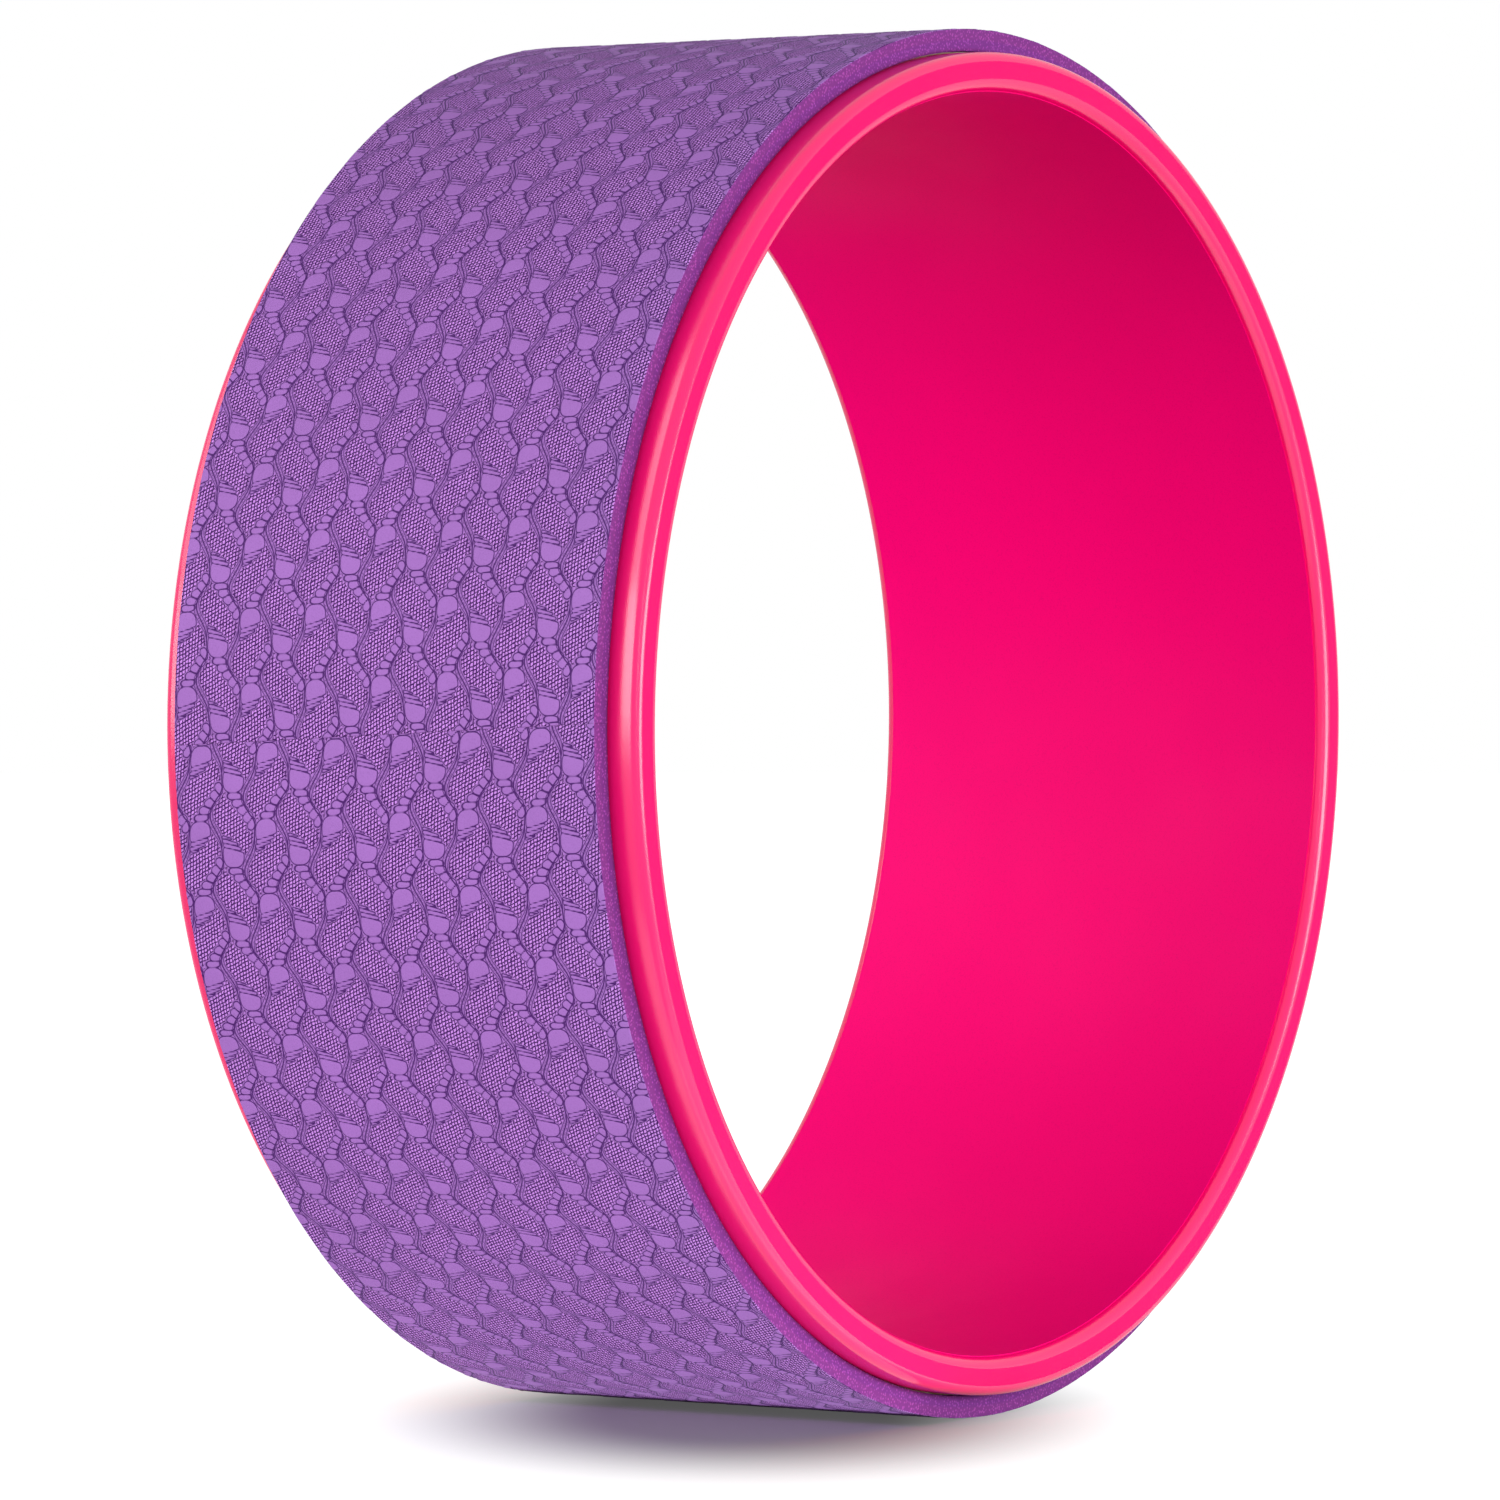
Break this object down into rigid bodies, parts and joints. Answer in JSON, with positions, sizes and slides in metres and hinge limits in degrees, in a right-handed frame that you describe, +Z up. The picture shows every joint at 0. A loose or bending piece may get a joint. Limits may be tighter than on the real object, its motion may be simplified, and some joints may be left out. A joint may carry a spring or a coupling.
{
  "type": "yoga wheel",
  "caption": "Open ring of rigid moulded plastic with an embossed foam mat bonded round its outside, for back stretches and balance work.",
  "frame": {"origin": "centre of the wheel, on its axis and midway between its two rims", "axes": "+Y along the wheel's axis, +Z up with the wheel standing on its tread"},
  "size_m": [0.3184, 0.127, 0.3184],
  "materials": {
    "hoop_plastic": "satin",
    "bond_adhesive": "matte",
    "mat_foam": "matte"
  },
  "bodies": {
    "root": {"core_hoop": "hoop_plastic", "adhesive_film": "bond_adhesive", "tread_mat": "mat_foam"}
  },
  "joints": []
}
